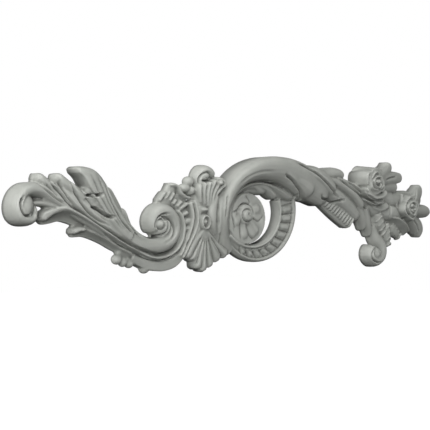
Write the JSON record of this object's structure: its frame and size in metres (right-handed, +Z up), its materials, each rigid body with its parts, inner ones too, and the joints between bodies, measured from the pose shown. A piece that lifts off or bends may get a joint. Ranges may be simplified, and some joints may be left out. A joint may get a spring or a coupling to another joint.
{
  "type": "scroll onlay",
  "caption": "Cast relief onlay for a wall or furniture face: acanthus leaf, volute, shell, open ring scroll, fern and roses on a flat back.",
  "frame": {"origin": "on the flat back, at the foot of the ring scroll's arc beside the shell, about 0.24 m from the curled tip", "axes": "+X runs along the ornament from the curled tip to the roses, +Y points into the wall, out of the flat back, +Z is up"},
  "size_m": [0.6375, 0.0331, 0.1299],
  "materials": {
    "grey_primer": "matt mid-grey primer on cast resin, fine even grain"
  },
  "bodies": {
    "root": {"scroll_onlay": "grey_primer"}
  },
  "joints": []
}
